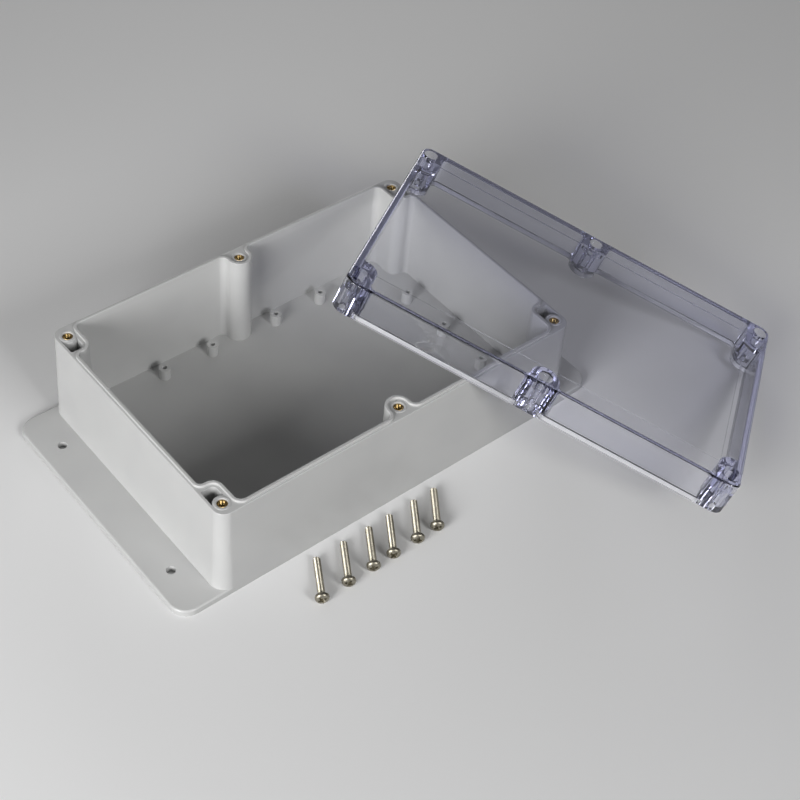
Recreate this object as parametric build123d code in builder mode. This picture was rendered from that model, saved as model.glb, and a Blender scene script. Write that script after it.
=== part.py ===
from build123d import *
from math import atan2, cos, degrees, radians, sin
import os

# Plastic junction box with wall ears, shown as in the photo: an open tray on its bottom, the clear
# lid taken off and leaning on the tray's right end, and the six lid screws lying in front.
# Origin: on the bottom face, at the middle of the four wall-fixing holes. +X runs along the box,
# +Y to the back and +Z up.

# Tray body
LENGTH = 228.0             # at the rim, outside
WIDTH = 152.0              # at the rim, outside
SEAT_HEIGHT = 60.0         # bottom to the land that the lid sits on
FLOOR = 3.0                # floor thickness
FLARE = 2.0                # the foot stands this much further out than the rim, on each side
CORNER_RADIUS = 6.5        # outer upright corners at the rim

# Rim, measured inward from the outside edge
LAND_WIDTH = 1.2           # flat strip outside the sealing lip
LIP_WIDTH = 1.8            # raised sealing lip
LIP_RISE = 1.2             # lip above the land

# Screw bosses: a notch in each corner and a round boss half way along each long wall
BOSS_X = 6.2               # insert axis from the end face
BOSS_Y = 7.3               # insert axis from the long face
NOTCH_X = 12.8             # corner notch, inward from the end face
NOTCH_Y = 22.0             # corner notch, inward from the long face
NOTCH_END_RADIUS = 2.8     # where the notch leaves the end wall
NOTCH_NOSE_RADIUS = 6.2    # the notch's own corner
NOTCH_SIDE_RADIUS = 4.0    # where the notch leaves the long wall
MIDDLE_BOSS_RADIUS = 7.1
MIDDLE_BLEND_RADIUS = 3.5  # where the middle boss leaves the wall
TUBE_RADIUS = 4.8          # tube round a corner insert
POCKET_WALL = 3.2          # wall between the corner pocket and the inside
POCKET_OUTER_WALL = 1.5    # wall between the corner pocket and the end face
POCKET_FLOOR = 9.0         # bottom of the corner pocket, above the underside
POCKET_INNER_RADIUS = 3.0  # pocket corner that follows the notch's own corner
POCKET_OUTER_RADIUS = 1.0  # pocket corner at the end face

# Brass inserts, M4
INSERT_DIAMETER = 5.6
INSERT_LENGTH = 8.0
INSERT_BORE = 4.2
INSERT_SINK = 0.5          # insert's top below the land
INSERT_RELIEF = 10.0       # free depth below the insert for the screw's tip

# Board standoffs on the floor
STANDOFF_DIAMETER = 6.6
STANDOFF_HEIGHT = 7.5
PILOT_DIAMETER = 2.8
PILOT_DEPTH = 6.5
SIDE_ROW_Y = 63.0          # rows along the long walls
SIDE_OUTER_X = 54.0
SIDE_INNER_X = 22.0
END_ROW_X = 95.0           # rows along the ends
END_OUTER_Y = 33.0

# Wall ears
EAR_REACH = 23.0           # out from the foot, at each end
EAR_THICKNESS = 4.0
EAR_CORNER_RADIUS = 10.0
EAR_EDGE_RADIUS = 1.2
EAR_HOLE_DIAMETER = 5.0
EAR_HOLE_END_INSET = 12.5  # hole axis from the ear's end
EAR_HOLE_SIDE_INSET = 27.0 # hole axis from the ear's side

# Clear lid, drawn with its underside on z = 0
LID_HEIGHT = 20.5
LID_PLATE = 2.5
LID_FLANGE = 1.0           # wall inside the gasket groove
LID_SHRINK = 0.4           # the top is this much smaller on each side
LID_EDGE_RADIUS = 1.5
TONGUE_CLEARANCE = 0.2     # sealing lip to the groove's inner wall
GASKET_HEIGHT = 2.4
GASKET_RECESS = 0.2        # gasket below the groove's mouth
COUNTERBORE_DIAMETER = 8.2
COUNTERBORE_DEPTH = 7.0
SCREW_CLEARANCE = 0.5      # on the screw's diameter, in the lid
LID_POCKET_DEPTH = 13.0
PANEL_END_MARGIN = 14.0    # sunk panel on top, in from the ends
PANEL_SIDE_MARGIN = 14.5   # and in from the long sides
PANEL_DEPTH = 0.4

# Lid screws, M4 x 25 pan head
SCREW_DIAMETER = 3.9
SCREW_LENGTH = 25.0
HEAD_DIAMETER = 7.4
HEAD_HEIGHT = 2.7
HEAD_CROWN = 1.2           # bevel that stands for the head's rounded top

# How the loose pieces lie
LID_HEADING = -59.25       # degrees, the lid's long direction
FRONT_CROSSING_X = 42.7    # where the lid crosses the front rim
END_CROSSING_Y = 47.4      # where the lid crosses the right end rim
REST_GAP = 0.3
SCREW_ROW_Y = -86.5        # tips of the screws
SCREW_TIPS_X = (-62.8, -45.5, -29.0, -15.3, 1.3, 15.2)
SCREW_HEADING = -121.2     # degrees, of the first screw
SCREW_HEADING_STEP = -1.0

# Worked out from the sizes above
FOOT_LENGTH = LENGTH + 2 * FLARE
FOOT_WIDTH = WIDTH + 2 * FLARE
EAR_OVERALL = FOOT_LENGTH + 2 * EAR_REACH
LIP_INNER = LAND_WIDTH + LIP_WIDTH
GROOVE_WIDTH = LIP_WIDTH + TONGUE_CLEARANCE
LID_WALL = LAND_WIDTH + GROOVE_WIDTH + LID_FLANGE
LID_INSET = LID_WALL - LIP_INNER
GROOVE_DEPTH = GASKET_HEIGHT + GASKET_RECESS
INSERT_AXES = [(x, y) for y in (-WIDTH / 2 + BOSS_Y, WIDTH / 2 - BOSS_Y)
               for x in (-LENGTH / 2 + BOSS_X, 0, LENGTH / 2 - BOSS_X)]
CORNERS = [(x, y) for x in (-LENGTH / 2, LENGTH / 2) for y in (-WIDTH / 2, WIDTH / 2)]
STANDOFFS = ([(x, y) for x in (-SIDE_OUTER_X, -SIDE_INNER_X, SIDE_INNER_X, SIDE_OUTER_X)
              for y in (-SIDE_ROW_Y, SIDE_ROW_Y)]
             + [(x, y) for x in (-END_ROW_X, END_ROW_X) for y in (-END_OUTER_Y, 0, END_OUTER_Y)])


def corners_at(sketch, x, y):
    """The corners of a sketch that lie that far out from both middle lines."""
    return sketch.vertices().filter_by(
        lambda v: abs(abs(v.X) - x) < 0.01 and abs(abs(v.Y) - y) < 0.01)


def rim_outline(grow=0.0):
    """The opening inside the sealing lip, with its corner notches and middle bosses."""
    middles = [(0, -WIDTH / 2 + BOSS_Y), (0, WIDTH / 2 - BOSS_Y)]
    end_wall = LENGTH / 2 - LIP_INNER
    long_wall = WIDTH / 2 - LIP_INNER
    notch_wall = LENGTH / 2 - NOTCH_X
    notch_edge = WIDTH / 2 - NOTCH_Y
    with BuildSketch() as opening:
        Rectangle(2 * end_wall, 2 * long_wall)
        with Locations(*CORNERS):
            Rectangle(2 * NOTCH_X, 2 * NOTCH_Y, mode=Mode.SUBTRACT)
        with Locations(*middles):
            Circle(MIDDLE_BOSS_RADIUS, mode=Mode.SUBTRACT)
        fillet(corners_at(opening, end_wall, notch_edge), NOTCH_END_RADIUS)
        fillet(corners_at(opening, notch_wall, notch_edge), NOTCH_NOSE_RADIUS)
        fillet(corners_at(opening, notch_wall, long_wall), NOTCH_SIDE_RADIUS)
        fillet(opening.vertices().filter_by(lambda v: abs(v.X) < 2 * MIDDLE_BOSS_RADIUS),
               MIDDLE_BLEND_RADIUS)
        if grow:
            offset(amount=grow, kind=Kind.ARC, mode=Mode.REPLACE)
    return opening.sketch


def corner_pockets():
    """The open pocket beside the tube in each corner, between the outer wall and the lip."""
    tubes = [(x, y) for x, y in INSERT_AXES if x]
    inner_side = LENGTH / 2 - NOTCH_X + POCKET_WALL
    outer_side = LENGTH / 2 - POCKET_OUTER_WALL
    pocket_end = WIDTH / 2 - NOTCH_Y + POCKET_WALL
    with BuildSketch() as pockets:
        with Locations(*CORNERS):
            Rectangle(2 * (NOTCH_X - POCKET_WALL), 2 * (NOTCH_Y - POCKET_WALL))
        Rectangle(2 * outer_side, WIDTH - 2 * BOSS_Y, mode=Mode.INTERSECT)
        with Locations(*tubes):
            Circle(TUBE_RADIUS, mode=Mode.SUBTRACT)
        fillet(corners_at(pockets, inner_side, pocket_end), POCKET_INNER_RADIUS)
        fillet(corners_at(pockets, outer_side, pocket_end), POCKET_OUTER_RADIUS)
    return pockets.sketch


def make_tray():
    """The moulded tray: drafted walls, wall ears, sealing lip, screw bosses and standoffs."""
    opening = rim_outline()
    pockets = corner_pockets()
    wall_draft = degrees(atan2(FLARE, SEAT_HEIGHT - EAR_THICKNESS))

    with BuildPart() as tray:
        with BuildSketch():
            RectangleRounded(EAR_OVERALL, FOOT_WIDTH, EAR_CORNER_RADIUS)
        extrude(amount=EAR_THICKNESS)
        fillet(tray.faces().sort_by(Axis.Z)[-1].edges(), EAR_EDGE_RADIUS)
        with BuildSketch() as foot:
            RectangleRounded(FOOT_LENGTH, FOOT_WIDTH, CORNER_RADIUS + FLARE)
        extrude(amount=EAR_THICKNESS)
        with BuildSketch(Plane.XY.offset(EAR_THICKNESS)):
            add(foot.sketch)
        extrude(amount=SEAT_HEIGHT - EAR_THICKNESS, taper=wall_draft)
        with BuildSketch(Plane.XY.offset(SEAT_HEIGHT)):
            add(opening)
        extrude(amount=FLOOR - SEAT_HEIGHT, mode=Mode.SUBTRACT)
        with BuildSketch(Plane.XY.offset(SEAT_HEIGHT)):
            add(opening)
            offset(amount=LIP_WIDTH, kind=Kind.ARC, mode=Mode.REPLACE)
            add(opening, mode=Mode.SUBTRACT)
        extrude(amount=LIP_RISE)
        with BuildSketch(Plane.XY.offset(POCKET_FLOOR)):
            add(pockets)
        extrude(amount=SEAT_HEIGHT, mode=Mode.SUBTRACT)
        with BuildSketch(Plane.XY.offset(FLOOR)):
            with Locations(*STANDOFFS):
                Circle(STANDOFF_DIAMETER / 2)
        extrude(amount=STANDOFF_HEIGHT)
        with Locations(Plane.XY.offset(FLOOR + STANDOFF_HEIGHT)):
            with Locations(*STANDOFFS):
                Hole(PILOT_DIAMETER / 2, depth=PILOT_DEPTH)
        with Locations(Plane.XY.offset(SEAT_HEIGHT)):
            with Locations(*INSERT_AXES):
                Hole(INSERT_DIAMETER / 2, depth=INSERT_SINK + INSERT_LENGTH + INSERT_RELIEF)
        with Locations(Plane.XY.offset(EAR_THICKNESS)):
            with GridLocations(EAR_OVERALL - 2 * EAR_HOLE_END_INSET,
                               FOOT_WIDTH - 2 * EAR_HOLE_SIDE_INSET, 2, 2):
                Hole(EAR_HOLE_DIAMETER / 2)
    return tray.part


def make_insert():
    """One threaded brass insert, its top on z = 0."""
    with BuildPart() as insert:
        with BuildSketch():
            Circle(INSERT_DIAMETER / 2)
            Circle(INSERT_BORE / 2, mode=Mode.SUBTRACT)
        extrude(amount=-INSERT_LENGTH)
    return insert.part


def gasket_band():
    """The ring that the gasket and its groove share, on the path of the tray's sealing lip."""
    with BuildSketch() as band:
        add(rim_outline())
        offset(amount=LIP_WIDTH, kind=Kind.ARC, mode=Mode.REPLACE)
        add(rim_outline(-TONGUE_CLEARANCE), mode=Mode.SUBTRACT)
    return band.sketch


def make_lid():
    """The clear lid: skirt, top plate with its sunk panel, and six hollow screw columns."""
    top_draft = degrees(atan2(LID_SHRINK, LID_HEIGHT))
    with BuildPart() as lid:
        with BuildSketch():
            RectangleRounded(LENGTH, WIDTH, CORNER_RADIUS)
        extrude(amount=LID_HEIGHT, taper=top_draft)
        fillet(lid.faces().sort_by(Axis.Z)[-1].edges(), LID_EDGE_RADIUS)
        with BuildSketch(Plane.XY.offset(LID_HEIGHT)):
            Rectangle(LENGTH - 2 * PANEL_END_MARGIN, WIDTH - 2 * PANEL_SIDE_MARGIN)
        extrude(amount=-PANEL_DEPTH, mode=Mode.SUBTRACT)
        with BuildSketch():
            add(rim_outline(-LID_INSET))
        extrude(amount=LID_HEIGHT - LID_PLATE, mode=Mode.SUBTRACT)
        with BuildSketch():
            add(gasket_band())
        extrude(amount=GROOVE_DEPTH, mode=Mode.SUBTRACT)
        with BuildSketch():
            add(corner_pockets())
        extrude(amount=LID_POCKET_DEPTH, mode=Mode.SUBTRACT)
        with Locations(Plane.XY.offset(LID_HEIGHT)):
            with Locations(*INSERT_AXES):
                CounterBoreHole((SCREW_DIAMETER + SCREW_CLEARANCE) / 2, COUNTERBORE_DIAMETER / 2,
                                COUNTERBORE_DEPTH)
    return lid.part


def make_gasket():
    """The white foam seal in the lid's groove."""
    with BuildPart() as gasket:
        with BuildSketch(Plane.XY.offset(GASKET_RECESS)):
            add(gasket_band())
        extrude(amount=GASKET_HEIGHT)
    return gasket.part


def make_screw():
    """One pan-head screw, its tip at the origin and its head along +X."""
    shank = SCREW_DIAMETER / 2
    head = HEAD_DIAMETER / 2
    top = SCREW_LENGTH + HEAD_HEIGHT
    with BuildPart() as screw:
        with BuildSketch(Plane.XZ):
            with BuildLine():
                Polyline((0, 0), (0, shank), (SCREW_LENGTH, shank), (SCREW_LENGTH, head),
                         (top - HEAD_CROWN, head), (top, head - HEAD_CROWN), (top, 0), (0, 0))
            make_face()
        revolve(axis=Axis.X)
    return screw.part


def leaning_plane():
    """Plane of the lid's underside as it leans: over the front rim, over the end rim, toe down."""
    rim_top = SEAT_HEIGHT + LIP_RISE + REST_GAP
    column_reach = NOTCH_X + LID_INSET
    front = Vector(FRONT_CROSSING_X, -WIDTH / 2 + LAND_WIDTH, rim_top)
    end = Vector(LENGTH / 2 - LAND_WIDTH, END_CROSSING_Y, rim_top)
    heading = Vector(cos(radians(LID_HEADING)), sin(radians(LID_HEADING)), 0)
    toe = Vector(LENGTH, -WIDTH, 0)
    for _ in range(40):
        normal = (end - front).cross(toe - front).normalized()
        if normal.Z < 0:
            normal = normal * -1
        along = heading - Vector(0, 0, heading.dot(normal) / normal.Z)
        along = along.normalized()
        across = normal.cross(along)
        centre = (along * (end.dot(along) + LENGTH / 2 - column_reach)
                  + across * (front.dot(across) + WIDTH / 2 - LID_WALL)
                  + normal * front.dot(normal))
        downhill = (normal * normal.Z - Vector(0, 0, 1)).normalized()
        toe = (centre + along * (LENGTH / 2 - CORNER_RADIUS)
               + across * (WIDTH / 2 - CORNER_RADIUS) + downhill * CORNER_RADIUS)
        toe = Vector(toe.X, toe.Y, 0)
    return Plane(origin=centre, x_dir=along, z_dir=normal)


def lying_plane(tip_x, heading):
    """Plane that lays a screw on the floor, on the rim of its head and the end of its thread."""
    shank = SCREW_DIAMETER / 2
    tilt = atan2(HEAD_DIAMETER / 2 - shank, SCREW_LENGTH)
    lift = shank * cos(tilt)
    level = Vector(cos(radians(heading)), sin(radians(heading)), 0)
    along = level * cos(tilt) + Vector(0, 0, sin(tilt))
    return Plane(origin=(tip_x, SCREW_ROW_Y, lift), x_dir=along, z_dir=level.cross(Vector(0, 0, 1)))


def save(part, label):
    """Name a finished piece and write it."""
    part.label = label
    export_step(part, f"parts/{label}.step")


os.makedirs("parts", exist_ok=True)

# Tray and its six inserts
save(make_tray(), "base_tray")
insert_names = ["insert_front_left", "insert_front_middle", "insert_front_right",
                "insert_back_left", "insert_back_middle", "insert_back_right"]
for insert_name, (x, y) in zip(insert_names, INSERT_AXES):
    save(Pos(x, y, SEAT_HEIGHT - INSERT_SINK) * make_insert(), insert_name)

# Lid and gasket, leaning on the tray
leaning = leaning_plane()
save(leaning.location * make_lid(), "clear_lid")
save(leaning.location * make_gasket(), "lid_gasket")

# Screws, lying in a row
for number, tip_x in enumerate(SCREW_TIPS_X):
    lying = lying_plane(tip_x, SCREW_HEADING + number * SCREW_HEADING_STEP)
    save(lying.location * make_screw(), f"lid_screw_{number + 1}")
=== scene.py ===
import math

import bmesh
import bpy
import numpy as np
from mathutils import Matrix, Vector


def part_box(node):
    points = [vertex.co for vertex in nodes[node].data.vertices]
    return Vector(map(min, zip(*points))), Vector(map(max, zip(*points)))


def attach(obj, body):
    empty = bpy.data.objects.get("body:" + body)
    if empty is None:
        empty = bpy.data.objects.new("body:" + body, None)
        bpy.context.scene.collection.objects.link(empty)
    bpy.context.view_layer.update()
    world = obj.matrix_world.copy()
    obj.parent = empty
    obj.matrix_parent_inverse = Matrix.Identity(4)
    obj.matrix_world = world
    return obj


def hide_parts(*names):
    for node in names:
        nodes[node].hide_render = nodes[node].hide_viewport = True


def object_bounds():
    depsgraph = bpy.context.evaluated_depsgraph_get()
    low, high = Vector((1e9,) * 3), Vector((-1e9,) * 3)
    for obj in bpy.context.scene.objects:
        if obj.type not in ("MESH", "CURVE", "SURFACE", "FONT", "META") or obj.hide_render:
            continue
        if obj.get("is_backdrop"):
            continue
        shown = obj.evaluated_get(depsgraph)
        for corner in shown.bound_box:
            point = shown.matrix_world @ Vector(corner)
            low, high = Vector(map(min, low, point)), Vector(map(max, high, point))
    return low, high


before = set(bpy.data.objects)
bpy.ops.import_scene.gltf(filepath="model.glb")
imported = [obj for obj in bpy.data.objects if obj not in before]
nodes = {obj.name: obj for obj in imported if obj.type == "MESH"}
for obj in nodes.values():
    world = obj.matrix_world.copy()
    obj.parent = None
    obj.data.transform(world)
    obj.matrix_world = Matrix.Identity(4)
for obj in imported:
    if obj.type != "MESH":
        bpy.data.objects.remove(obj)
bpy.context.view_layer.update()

INSERTS = [name for name in nodes if name.startswith("insert_")]
SCREWS = [name for name in nodes if name.startswith("lid_screw_")]

# All lengths are in metres, and all angles in degrees.

# Threads of the screws and the inserts, M4
THREAD_PITCH = 0.0007
THREAD_STEPS = 7           # rings to each turn of the thread
THREAD_SLOPE = 2.6         # how fast the thread rises from its root to its crest
THREAD_ROOT_FLAT = 0.15    # what is taken off its height, to leave the root flat
LEAD_IN_SLOPE = 1.2        # rise of the cone where a thread begins, for each metre along it

# Lid screws, M4 x 25 pan head
SCREW_SIDES = 28
SHANK_RADIUS = 0.00195
SHANK_ROOT = 0.0016
SHANK_LENGTH = 0.025
TIP_STEP = 0.0002          # how much thinner than its root the shank's tip is
HEAD_RADIUS = 0.0037
HEAD_HEIGHT = 0.0027
HEAD_SIDE = 0.0009         # upright part of the head's side
HEAD_FOOT_ROUND = 0.0003
CROWN_RINGS = 9
CROWN_SQUARENESS = 0.8     # 1 for an elliptic crown, and less for a squarer one
SCREW_ROLL = 35            # each screw is rolled this much further than the one before

# Cross recess in the screw's head
RECESS_REACH = 0.0024
RECESS_SLOT = 0.00115
RECESS_DEPTH = 0.0018
RECESS_TAPER = 0.55        # bottom of the recess as a share of its full size
RECESS_MOUTH = 1.05        # the cutter's top as a share of that size
RECESS_CORNER = 1.5        # inner corners of the cross, in half slots from the axis
CUTTER_ABOVE_HEAD = 0.0002

# Inserts
INSERT_SIDES = 32
INSERT_SINK = 0.0005       # insert's top below the tray's land
INSERT_TOP_BEVEL = 0.00025
INSERT_THREAD_CREST = 0.00168
INSERT_THREAD_ROOT = 0.00205

# Raised bead of tray plastic round the mouth of each insert's hole
BEAD_SIDES = 48
BEAD_STEPS = 10
BEAD_WIDTH = 0.0015
BEAD_HEIGHT = 0.00026
BEAD_SINK = 0.0006         # how far it reaches down into the tray

# Rounded edges at the top of the tray, and where they are found
RIM_ROUND = 0.00042
RIM_SEGMENTS = 3
RIM_ANGLE = 40             # an edge is rounded when it turns outward by more than this
RIM_MARK = "rim"
LAND_FROM_X = 0.1128
LAND_FROM_Y = 0.0725
LAND_FROM_Z = 0.0595
LIP_FROM_Z = 0.0608
WELD_DISTANCE = 1e-6       # joins the faces of the CAD mesh, which share no corners

# Shading: edges that turn by more than this stay sharp
SHARP_ON_CAD = 32
SHARP_ON_PIECES = 40

# Floor and lamps
FLOOR_REACH = 6.0
FLOOR_SEEN = 0.86          # its grey as the camera, mirrors and glass see it
FLOOR_AS_LIT = 0.05        # its grey for the light that it sends back to the object
FLOOR_ROUGHNESS = 0.9
LAMP_SPREAD = 100
LAMP_AIM = Vector((0.0, 0.0, 0.03))
LAMPS = [                  # name, place, side, watts
    ("left", Vector((-1.085, -0.37, 0.40)), 0.58, 4.3),
    ("front", Vector((0.05, -1.9, 1.15)), 0.7, 5.3),
    ("back", Vector((1.0, 1.6, 0.5)), 0.7, 2.4),
]
WORLD_COLOUR = (1.0, 1.0, 1.0, 1.0)
WORLD_STRENGTH = 0.075

# Camera, where the photo was taken from
CAMERA_PLACE = Vector((-0.38080, -0.46148, 0.63549))
CAMERA_RIGHT = Vector((0.76914, -0.63439, 0.07728))
CAMERA_UP = Vector((0.41954, 0.59244, 0.68775))
CAMERA_LENS = 70.96        # mm
CAMERA_SENSOR = 36.0       # mm


def link(made):
    """Put an object in the scene."""
    bpy.context.scene.collection.objects.link(made)
    return made


def face_outward(mesh):
    """Turn every face of a closed mesh to the outside."""
    work = bmesh.new()
    work.from_mesh(mesh)
    bmesh.ops.recalc_face_normals(work, faces=work.faces)
    work.to_mesh(mesh)
    work.free()


def turned_mesh(name, rings, hollow=False):
    """A closed solid through rings of points that all have the same count.

    A hollow one goes round a hole, from its last ring back to its first. Others are capped.
    """
    points = [point for one in rings for point in one]
    count = len(rings[0])
    faces = []
    for row in range(len(rings) if hollow else len(rings) - 1):
        low, high = row * count, (row + 1) % len(rings) * count
        for column in range(count):
            after = (column + 1) % count
            faces.append((low + column, low + after, high + after, high + column))
    if not hollow:
        last = (len(rings) - 1) * count
        faces.append([count - 1 - column for column in range(count)])
        faces.append([last + column for column in range(count)])
    mesh = bpy.data.meshes.new(name)
    mesh.from_pydata(points, [], faces)
    face_outward(mesh)
    return mesh


def soften(mesh):
    """Smooth shading, with the sharp edges kept."""
    mesh.shade_smooth()
    mesh.set_sharp_from_angle(angle=math.radians(SHARP_ON_PIECES))
    return mesh


def ring(along, count, radius):
    """Points of one ring about +X. The radius is a number, or a function of place and angle."""
    made = []
    for step in range(count):
        angle = 2 * math.pi * step / count
        size = radius(along, angle) if callable(radius) else radius
        made.append((along, size * math.cos(angle), size * math.sin(angle)))
    return made


def thread_height(along, angle):
    """Share of the thread's depth there: 0 in the root and 1 on the crest."""
    turn = (along / THREAD_PITCH - angle / (2 * math.pi)) % 1.0
    height = THREAD_SLOPE * (0.5 - abs(turn - 0.5)) - THREAD_ROOT_FLAT
    return max(0.0, min(1.0, height))


def threaded_rings(length, count, radius, way=1):
    """Rings of a thread that runs from the origin along +X, or along -X where way is -1."""
    step = THREAD_PITCH / THREAD_STEPS
    return [ring(way * number * step, count, radius) for number in range(int(length / step))]


def screw_rings():
    """Rings of the lid screw, from its tip to the middle of its head's rounded top."""
    def outside(along, angle):
        full = SHANK_ROOT + (SHANK_RADIUS - SHANK_ROOT) * thread_height(along, angle)
        return min(full, SHANK_ROOT - TIP_STEP + along * LEAD_IN_SLOPE)

    made = threaded_rings(SHANK_LENGTH, SCREW_SIDES, outside)
    made.append(ring(SHANK_LENGTH, SCREW_SIDES, SHANK_ROOT))
    made.append(ring(SHANK_LENGTH, SCREW_SIDES, HEAD_RADIUS - HEAD_FOOT_ROUND))
    made.append(ring(SHANK_LENGTH + HEAD_FOOT_ROUND, SCREW_SIDES, HEAD_RADIUS))
    for number in range(CROWN_RINGS):
        turn = math.radians(90.0 * number / (CROWN_RINGS - 0.5))
        rise = (HEAD_HEIGHT - HEAD_SIDE) * math.sin(turn)
        reach = HEAD_RADIUS * math.cos(turn) ** CROWN_SQUARENESS
        made.append(ring(SHANK_LENGTH + HEAD_SIDE + rise, SCREW_SIDES, reach))
    return made


def cross_cutter():
    """The tapered cross that cuts the driver recess, lying along the head's axis."""
    slot, reach = RECESS_SLOT / 2, RECESS_REACH
    corner = slot * RECESS_CORNER
    quarter = [(reach, -slot), (reach, slot), (corner, corner)]
    outline = []
    for turn in range(4):
        for across, up in quarter:
            for _ in range(turn):
                across, up = -up, across
            outline.append((across, up))
    top = SHANK_LENGTH + HEAD_HEIGHT
    levels = [(top - RECESS_DEPTH, RECESS_TAPER), (top + CUTTER_ABOVE_HEAD, RECESS_MOUTH)]
    rings = [[(along, across * size, up * size) for across, up in outline]
             for along, size in levels]
    return turned_mesh("cross_cutter", rings)


def cut(mesh, cutter):
    """The first mesh with the second one taken out of it."""
    whole = link(bpy.data.objects.new("whole", mesh))
    tool = link(bpy.data.objects.new("tool", cutter))
    boolean = whole.modifiers.new("cut", "BOOLEAN")
    boolean.operation = "DIFFERENCE"
    boolean.object = tool
    graph = bpy.context.evaluated_depsgraph_get()
    made = bpy.data.meshes.new_from_object(whole.evaluated_get(graph))
    bpy.data.objects.remove(whole)
    bpy.data.objects.remove(tool)
    return made


def screw_mesh():
    """The whole lid screw, its tip at the origin and its head along +X."""
    return soften(cut(turned_mesh("lid_screw", screw_rings()), cross_cutter()))


def insert_mesh(outer, length):
    """An insert about +X, its top at the origin: a bevelled outside and a threaded bore."""
    def bore(along, angle):
        depth = INSERT_THREAD_ROOT - INSERT_THREAD_CREST
        full = INSERT_THREAD_ROOT - depth * thread_height(along, angle)
        return max(full, INSERT_THREAD_ROOT + along * LEAD_IN_SLOPE)

    rings = threaded_rings(length, INSERT_SIDES, bore, way=-1)
    rings.append(ring(-length, INSERT_SIDES, INSERT_THREAD_ROOT))
    rings.append(ring(-length, INSERT_SIDES, outer))
    rings.append(ring(-INSERT_TOP_BEVEL, INSERT_SIDES, outer))
    rings.append(ring(0.0, INSERT_SIDES, outer - INSERT_TOP_BEVEL))
    return soften(turned_mesh("insert", rings, hollow=True))


def bead_mesh(inner):
    """A half-round ring about +X that stands up from the origin, round a hole of that radius."""
    rings = [ring(-BEAD_SINK, BEAD_SIDES, inner)]
    for number in range(BEAD_STEPS + 1):
        turn = math.pi * number / BEAD_STEPS
        across = BEAD_WIDTH * (1 - math.cos(turn)) / 2
        rings.append(ring(BEAD_HEIGHT * math.sin(turn), BEAD_SIDES, inner + across))
    rings.append(ring(-BEAD_SINK, BEAD_SIDES, inner + BEAD_WIDTH))
    return soften(turned_mesh("bead", rings, hollow=True))


def insert_pose(name):
    """Place of an insert: +X up, and the origin in the middle of its top."""
    low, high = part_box(name)
    top = Matrix.Translation(((low.x + high.x) / 2, (low.y + high.y) / 2, high.z))
    return top @ Matrix.Rotation(math.radians(-90), 4, "Y")


def turned_pose(name):
    """Place of a CAD node that is turned about a line: +X along the line, to its thick end."""
    points = np.array([vertex.co for vertex in nodes[name].data.vertices])
    middle = points.mean(0)
    along, across, up = np.linalg.svd(points - middle, full_matrices=False)[2]
    place = (points - middle) @ along
    spread = np.linalg.norm(points - middle - np.outer(place, along), axis=1)
    if spread[place > 0].max() < spread[place < 0].max():
        along, place = -along, -place
    up = np.cross(along, across)
    centre = middle + along * place.min()
    for side in (across, up):
        reach = (points - middle) @ side
        centre = centre + side * (reach.max() + reach.min()) / 2
    turn = Matrix((along, across, up)).transposed()
    return Matrix.Translation(centre) @ turn.to_4x4()


def new_piece(name, pattern, pose, body, finish):
    """A piece that rides with a body, a copy of the pattern mesh in that pose."""
    mesh = pattern.copy()
    mesh.transform(pose)
    mesh.materials.clear()
    mesh.materials.append(finish)
    piece = link(bpy.data.objects.new(name, mesh))
    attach(piece, body)
    return piece


def shader(name):
    """A new material, its node tree and its Principled node."""
    made = bpy.data.materials.new(name)
    made.use_nodes = True
    return made, made.node_tree, made.node_tree.nodes["Principled BSDF"]


def add_node(tree, kind, **values):
    """A node of that kind, with its sockets set by name."""
    made = tree.nodes.new(kind)
    for socket, value in values.items():
        made.inputs[socket].default_value = value
    return made


def noise(tree, scale, detail=3.0):
    """Noise in the object's own metres, scale in cycles per metre."""
    place = tree.nodes.new("ShaderNodeTexCoord")
    made = add_node(tree, "ShaderNodeTexNoise", Scale=scale, Detail=detail)
    tree.links.new(place.outputs["Object"], made.inputs["Vector"])
    return made.outputs["Fac"]


def ramp(tree, source, stops):
    """A colour ramp over source, from (position, grey or colour) stops."""
    made = tree.nodes.new("ShaderNodeValToRGB")
    elements = made.color_ramp.elements
    while len(elements) < len(stops):
        elements.new(0.5)
    for element, (position, colour) in zip(elements, stops):
        element.position = position
        red, green, blue = colour if isinstance(colour, tuple) else (colour, colour, colour)
        element.color = (red, green, blue, 1.0)
    tree.links.new(source, made.inputs["Fac"])
    return made.outputs["Color"]


def any_ray(tree, first, *others):
    """1 for rays of any of these kinds, and 0 for the rest."""
    rays = tree.nodes.new("ShaderNodeLightPath")
    found = rays.outputs[first]
    for kind in others:
        either = tree.nodes.new("ShaderNodeMath")
        either.operation = "MAXIMUM"
        tree.links.new(found, either.inputs[0])
        tree.links.new(rays.outputs[kind], either.inputs[1])
        found = either.outputs["Value"]
    return found


def bump(tree, height, distance, strength, under=None):
    """A bump of that height texture, in metres, on top of the one under it."""
    made = add_node(tree, "ShaderNodeBump", Strength=strength, Distance=distance)
    tree.links.new(height, made.inputs["Height"])
    if under is not None:
        tree.links.new(under, made.inputs["Normal"])
    return made.outputs["Normal"]


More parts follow.
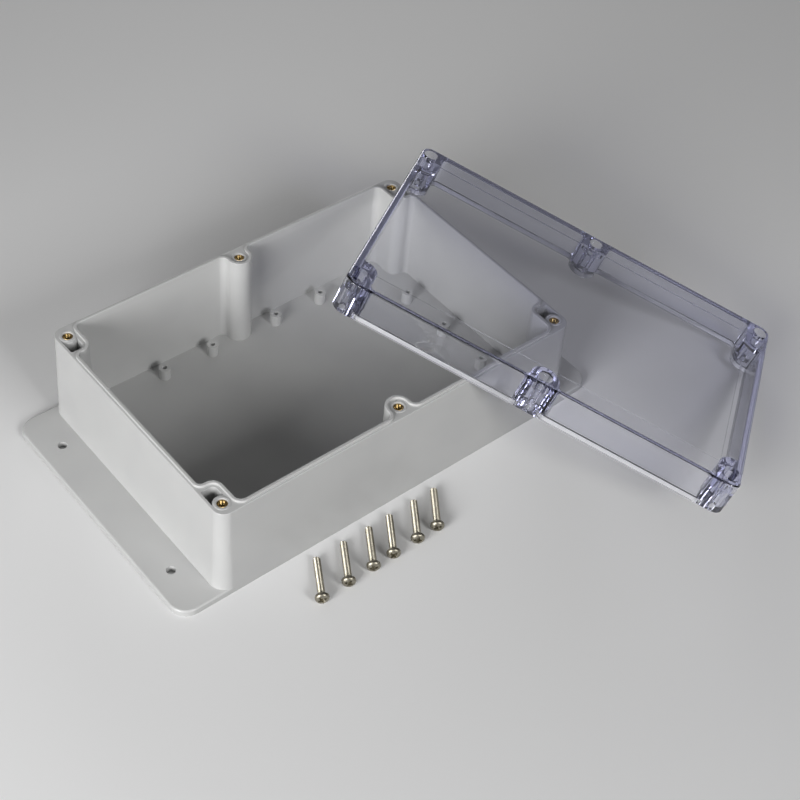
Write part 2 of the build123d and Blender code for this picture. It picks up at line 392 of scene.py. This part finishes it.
def tray_plastic():
    """Light grey moulded ABS: semi-gloss, with a very fine spark-eroded grain."""
    made, tree, surface = shader("tray_plastic")
    mottling = ramp(tree, noise(tree, scale=42.0, detail=1.0), [
        (0.30, (0.572, 0.574, 0.571)),
        (0.46, (0.586, 0.588, 0.583)),
        (0.70, (0.598, 0.60, 0.594)),
    ])
    tree.links.new(mottling, surface.inputs["Base Color"])
    gloss = ramp(tree, noise(tree, scale=25.0, detail=1.0), [(0.35, 0.29), (0.65, 0.33)])
    tree.links.new(gloss, surface.inputs["Roughness"])
    flow = bump(tree, noise(tree, scale=18.0, detail=1.0), distance=0.0002, strength=0.06)
    grain = bump(tree, noise(tree, scale=2600.0, detail=2.0), distance=0.000012, strength=0.5,
                 under=flow)
    tree.links.new(grain, surface.inputs["Normal"])
    surface.inputs["IOR"].default_value = 1.53
    return made


def clear_plastic():
    """Clear polycarbonate with a faint violet-blue tint that deepens with thickness."""
    made, tree, surface = shader("clear_plastic")
    surface.inputs["Base Color"].default_value = (0.97, 0.975, 1.0, 1.0)
    surface.inputs["Transmission Weight"].default_value = 1.0
    surface.inputs["IOR"].default_value = 1.58
    gloss = ramp(tree, noise(tree, scale=40.0), [(0.35, 0.0), (0.7, 0.03)])
    tree.links.new(gloss, surface.inputs["Roughness"])
    flow = bump(tree, noise(tree, scale=14.0, detail=1.0), distance=0.0003, strength=0.02)
    tree.links.new(flow, surface.inputs["Normal"])
    # The light that falls on things under the lid goes straight through it.
    through = add_node(tree, "ShaderNodeBsdfTransparent", Color=(0.81, 0.81, 0.83, 1.0))
    glass = tree.nodes.new("ShaderNodeMixShader")
    lighting = any_ray(tree, "Is Shadow Ray", "Is Diffuse Ray")
    tree.links.new(lighting, glass.inputs["Fac"])
    tree.links.new(surface.outputs["BSDF"], glass.inputs[1])
    tree.links.new(through.outputs["BSDF"], glass.inputs[2])
    depth = add_node(tree, "ShaderNodeVolumeAbsorption", Density=23.0,
                     Color=(0.45, 0.48, 0.97, 1.0))
    output = tree.nodes["Material Output"]
    tree.links.new(glass.outputs["Shader"], output.inputs["Surface"])
    tree.links.new(depth.outputs["Volume"], output.inputs["Volume"])
    return made


def gasket_foam():
    """White closed-cell foam, matt, with fine cells."""
    made, tree, surface = shader("gasket_foam")
    shade = ramp(tree, noise(tree, scale=400.0),
                 [(0.3, (0.84, 0.84, 0.82)), (0.7, (0.91, 0.91, 0.89))])
    tree.links.new(shade, surface.inputs["Base Color"])
    surface.inputs["Roughness"].default_value = 0.8
    cells = bump(tree, noise(tree, scale=2500.0, detail=2.0), distance=0.00006, strength=0.8)
    tree.links.new(cells, surface.inputs["Normal"])
    return made


def metal(name, light, dark, smooth, rough):
    """A turned or plated metal, with fine tool marks and a patchy shade."""
    made, tree, surface = shader(name)
    shade = ramp(tree, noise(tree, scale=500.0, detail=4.0), [(0.3, dark), (0.7, light)])
    tree.links.new(shade, surface.inputs["Base Color"])
    gloss = ramp(tree, noise(tree, scale=900.0), [(0.3, smooth), (0.7, rough)])
    tree.links.new(gloss, surface.inputs["Roughness"])
    marks = bump(tree, noise(tree, scale=4000.0, detail=2.0), distance=0.00001, strength=0.4)
    tree.links.new(marks, surface.inputs["Normal"])
    surface.inputs["Metallic"].default_value = 1.0
    return made


def marked_rim():
    """Node group that marks the edges to round: the lip's top and the outside of the land."""
    group = bpy.data.node_groups.new("marked_rim", "GeometryNodeTree")
    for way in ("INPUT", "OUTPUT"):
        group.interface.new_socket("Geometry", in_out=way, socket_type="NodeSocketGeometry")

    def maths(operation, *values):
        made = group.nodes.new("ShaderNodeMath")
        made.operation = operation
        for socket, value in zip(made.inputs, values):
            if isinstance(value, float):
                socket.default_value = value
            else:
                group.links.new(value, socket)
        return made.outputs["Value"]

    place = group.nodes.new("GeometryNodeInputPosition")
    axes = group.nodes.new("ShaderNodeSeparateXYZ")
    group.links.new(place.outputs["Position"], axes.inputs["Vector"])
    far_x = maths("GREATER_THAN", maths("ABSOLUTE", axes.outputs["X"]), LAND_FROM_X)
    far_y = maths("GREATER_THAN", maths("ABSOLUTE", axes.outputs["Y"]), LAND_FROM_Y)
    land_high = maths("GREATER_THAN", axes.outputs["Z"], LAND_FROM_Z)
    at_lip = maths("GREATER_THAN", axes.outputs["Z"], LIP_FROM_Z)
    at_land = maths("MULTIPLY", land_high, maths("MAXIMUM", far_x, far_y))
    turn = group.nodes.new("GeometryNodeInputMeshEdgeAngle")
    outward = maths("GREATER_THAN", turn.outputs["Signed Angle"], math.radians(RIM_ANGLE))
    store = group.nodes.new("GeometryNodeStoreNamedAttribute")
    store.domain = "EDGE"
    store.inputs["Name"].default_value = RIM_MARK
    marked = maths("MULTIPLY", maths("MAXIMUM", at_lip, at_land), outward)
    group.links.new(marked, store.inputs["Value"])
    start, end = group.nodes.new("NodeGroupInput"), group.nodes.new("NodeGroupOutput")
    group.links.new(start.outputs["Geometry"], store.inputs["Geometry"])
    group.links.new(store.outputs["Geometry"], end.inputs["Geometry"])
    return group


def dress(name, finish):
    """Give a CAD node its material and smooth shading over its curves."""
    node = nodes[name]
    node.data.materials.clear()
    node.data.materials.append(finish)
    node.data.shade_smooth()
    smoothing = node.modifiers.new("soft_normals", "EDGE_SPLIT")
    smoothing.split_angle = math.radians(SHARP_ON_CAD)


def round_rim(name, finish):
    """Dress the tray, with the edges of its lip and land rounded before it is shaded."""
    node = nodes[name]
    joined = node.modifiers.new("joined_faces", "WELD")
    joined.merge_threshold = WELD_DISTANCE
    marks = node.modifiers.new("marked_rim", "NODES")
    marks.node_group = marked_rim()
    rounding = node.modifiers.new("rounded_rim", "BEVEL")
    rounding.width = RIM_ROUND
    rounding.segments = RIM_SEGMENTS
    rounding.limit_method = "WEIGHT"
    rounding.edge_weight = RIM_MARK
    rounding.use_clamp_overlap = False
    dress(name, finish)
    flat = node.modifiers.new("flat_faces", "WEIGHTED_NORMAL")
    flat.keep_sharp = True


def make_floor():
    """A plain pale floor, which isn't part of the object."""
    mesh = bpy.data.meshes.new("floor")
    far = FLOOR_REACH
    mesh.from_pydata([(-far, -far, 0), (far, -far, 0), (far, far, 0), (-far, far, 0)],
                     [], [(0, 1, 2, 3)])
    floor = link(bpy.data.objects.new("floor", mesh))
    made, tree, surface = shader("floor")
    seen = any_ray(tree, "Is Camera Ray", "Is Glossy Ray", "Is Transmission Ray")
    shade = ramp(tree, seen, [(0.0, FLOOR_AS_LIT), (1.0, FLOOR_SEEN)])
    tree.links.new(shade, surface.inputs["Base Color"])
    surface.inputs["Roughness"].default_value = FLOOR_ROUGHNESS
    mesh.materials.append(made)
    floor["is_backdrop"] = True


def light_the_studio():
    """Soft lamps low on the left and in front, a weaker one behind, and a dim even world."""
    for name, place, side, power in LAMPS:
        lamp = bpy.data.lights.new(name, "AREA")
        lamp.shape = "RECTANGLE"
        lamp.size = lamp.size_y = side
        lamp.energy = power
        lamp.spread = math.radians(LAMP_SPREAD)
        light = link(bpy.data.objects.new(name, lamp))
        light.location = place
        light.rotation_euler = (LAMP_AIM - place).to_track_quat("-Z", "Y").to_euler()
    world = bpy.data.worlds.new("studio")
    bpy.context.scene.world = world
    world.use_nodes = True
    background = world.node_tree.nodes["Background"]
    background.inputs["Color"].default_value = WORLD_COLOUR
    background.inputs["Strength"].default_value = WORLD_STRENGTH


def place_camera():
    """The photo's own viewpoint, turned slightly about its line of sight."""
    data = bpy.data.cameras.new("camera")
    data.lens = CAMERA_LENS
    data.sensor_width = CAMERA_SENSOR
    camera = link(bpy.data.objects.new("camera", data))
    back = CAMERA_RIGHT.cross(CAMERA_UP)
    turn = Matrix((CAMERA_RIGHT, CAMERA_UP, back)).transposed()
    camera.matrix_world = Matrix.Translation(CAMERA_PLACE) @ turn.to_4x4()
    bpy.context.scene.camera = camera


bpy.context.scene.view_settings.view_transform = "Standard"
grey = tray_plastic()
clear = clear_plastic()
foam = gasket_foam()
brass = metal("insert_brass", light=(0.58, 0.41, 0.17), dark=(0.44, 0.30, 0.12),
              smooth=0.24, rough=0.34)
steel = metal("screw_steel", light=(0.38, 0.355, 0.29), dark=(0.30, 0.28, 0.225),
              smooth=0.34, rough=0.42)
round_rim("base_tray", grey)
dress("clear_lid", clear)
dress("lid_gasket", foam)

low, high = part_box(INSERTS[0])
hole_radius = (high.x - low.x) / 2
insert = insert_mesh(hole_radius, high.z - low.z)
bead = bead_mesh(hole_radius)
for name in INSERTS:
    pose = insert_pose(name)
    detailed = new_piece(name + "_detailed", insert, pose, "tray", brass)
    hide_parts(name)
    land = Matrix.Translation((0, 0, INSERT_SINK)) @ pose
    new_piece(name + "_bead", bead, land, "tray", grey)

screw = screw_mesh()
for number, name in enumerate(SCREWS, 1):
    pose = turned_pose(name) @ Matrix.Rotation(math.radians(SCREW_ROLL * number), 4, "X")
    detailed = new_piece(name + "_detailed", screw, pose, f"screw_{number}", steel)
    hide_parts(name)

make_floor()
light_the_studio()
place_camera()

low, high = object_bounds()
